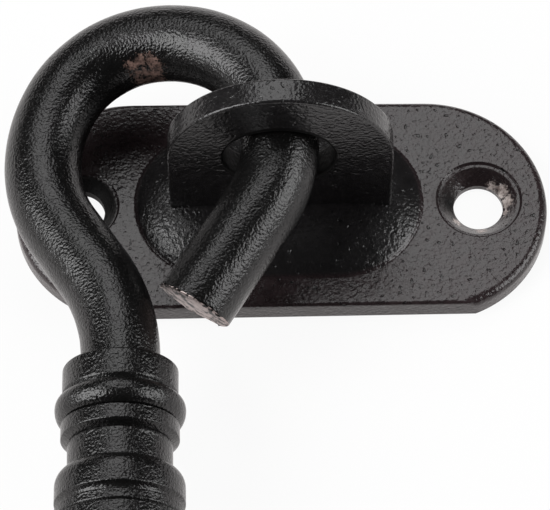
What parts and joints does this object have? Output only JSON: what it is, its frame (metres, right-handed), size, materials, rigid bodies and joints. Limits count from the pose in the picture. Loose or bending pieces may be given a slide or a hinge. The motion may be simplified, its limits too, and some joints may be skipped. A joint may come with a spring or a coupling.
{
  "type": "hook latch",
  "caption": "Hook latch: a bent and turned hook arm hangs in the upright eye of a screw plate and drops its tip into the eye of a keeper plate.",
  "frame": {"origin": "back of the pivot plate, midway between its two screw holes and straight below its upright eye", "axes": "+Z out of the back faces of both plates, +X along the pivot plate, -Y along the arm from the pivot plate to the keeper plate"},
  "size_m": [0.0454, 0.1182, 0.0204],
  "materials": {
    "black_coat": "satin powder coat with a fine pebbled surface, worn to bare metal at a countersink and at the sawn end"
  },
  "bodies": {
    "plates": {"pivot_plate": "black_coat", "keeper_plate": "black_coat"},
    "hook": {"hook_arm": "black_coat"}
  },
  "joints": [
    {"name": "hook_swing", "type": "hinge", "parent": "plates", "child": "hook", "pos_m": [-0.01067, 0.00005, 0], "axis": [0, 0, 1], "range_deg": [-60, 0]}
  ]
}
